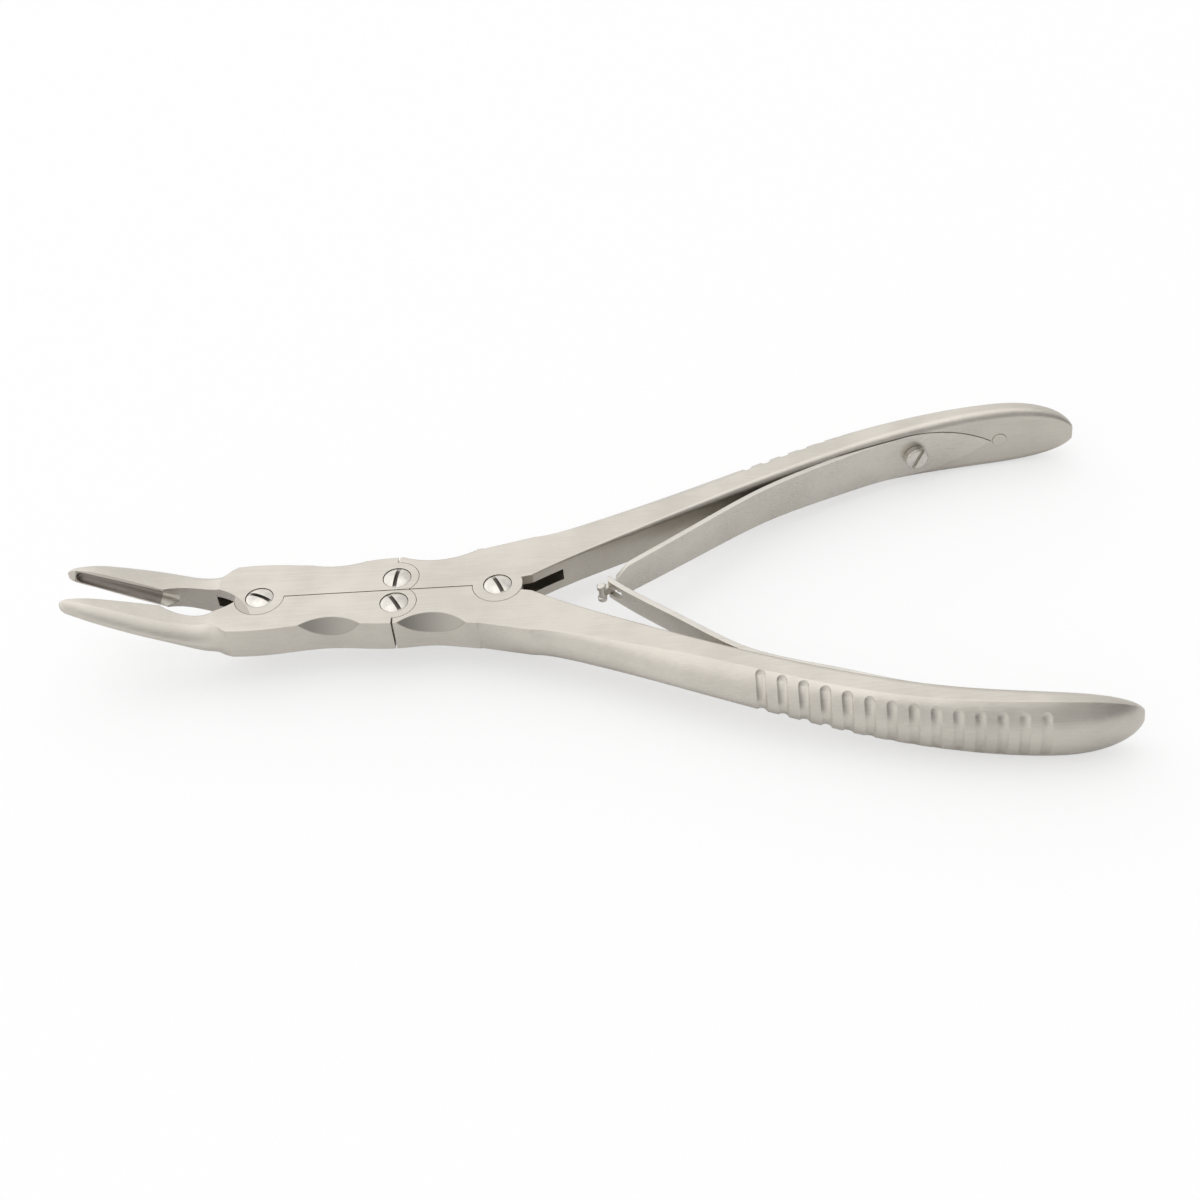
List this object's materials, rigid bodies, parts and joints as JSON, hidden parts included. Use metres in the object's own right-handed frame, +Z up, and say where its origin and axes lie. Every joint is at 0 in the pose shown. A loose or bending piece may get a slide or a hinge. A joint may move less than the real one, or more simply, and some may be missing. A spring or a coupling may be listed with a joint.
{
  "type": "bone rongeur",
  "caption": "Double-action bone rongeur with upturned cupped jaws, a compound four-pivot joint block, long grooved handles and a pair of interlocking leaf springs.",
  "frame": {"origin": "on the handle pivot's axis, at the flat underside of the joint block, where the pivot screw's end is flush", "axes": "+X from the handle pivot towards the handle ends, +Y towards the upper handle, +Z up through the pivots, the way the jaws turn up"},
  "size_m": [0.179, 0.082, 0.0145],
  "materials": {
    "satin_steel": "satin ground stainless steel",
    "polished_steel": "polished stainless steel",
    "spring_steel": "satin ground spring steel"
  },
  "bodies": {
    "lower_handle": {"lower_handle": "satin_steel", "lower_leaf_spring": "spring_steel", "lower_spring_screw": "polished_steel", "lower_spring_pin": "polished_steel"},
    "upper_handle": {"upper_handle": "satin_steel", "handle_pivot_screw": "polished_steel", "upper_leaf_spring": "spring_steel", "upper_spring_screw": "polished_steel", "upper_spring_pin": "polished_steel"},
    "lower_jaw": {"lower_jaw": "satin_steel", "lower_link_screw": "polished_steel"},
    "upper_jaw": {"upper_jaw": "satin_steel", "jaw_pivot_screw": "polished_steel", "upper_link_screw": "polished_steel"}
  },
  "joints": [
    {"name": "handle_pivot", "type": "hinge", "parent": "lower_handle", "child": "upper_handle", "pos_m": [0, 0, 0.003], "axis": [0, 0, -1], "range_deg": [0, 17.3], "stiffness_Nm_per_rad": 1.2, "springref_deg": -5.73, "deforming": ["upper_leaf_spring", "lower_leaf_spring"]},
    {"name": "lower_link", "type": "hinge", "parent": "lower_handle", "child": "lower_jaw", "pos_m": [-0.0178, -0.00315, 0.003], "axis": [0, 0, -1], "range_deg": [0, 15.1]},
    {"name": "jaw_pivot", "type": "hinge", "parent": "lower_jaw", "child": "upper_jaw", "pos_m": [-0.04174, 0, 0.003], "axis": [0, 0, 1], "range_deg": [0, 12.85]}
  ],
  "couplings": [
    {"joint": "lower_link", "follows": "handle_pivot", "ratio": 0.8695},
    {"joint": "jaw_pivot", "follows": "handle_pivot", "ratio": 0.739}
  ]
}
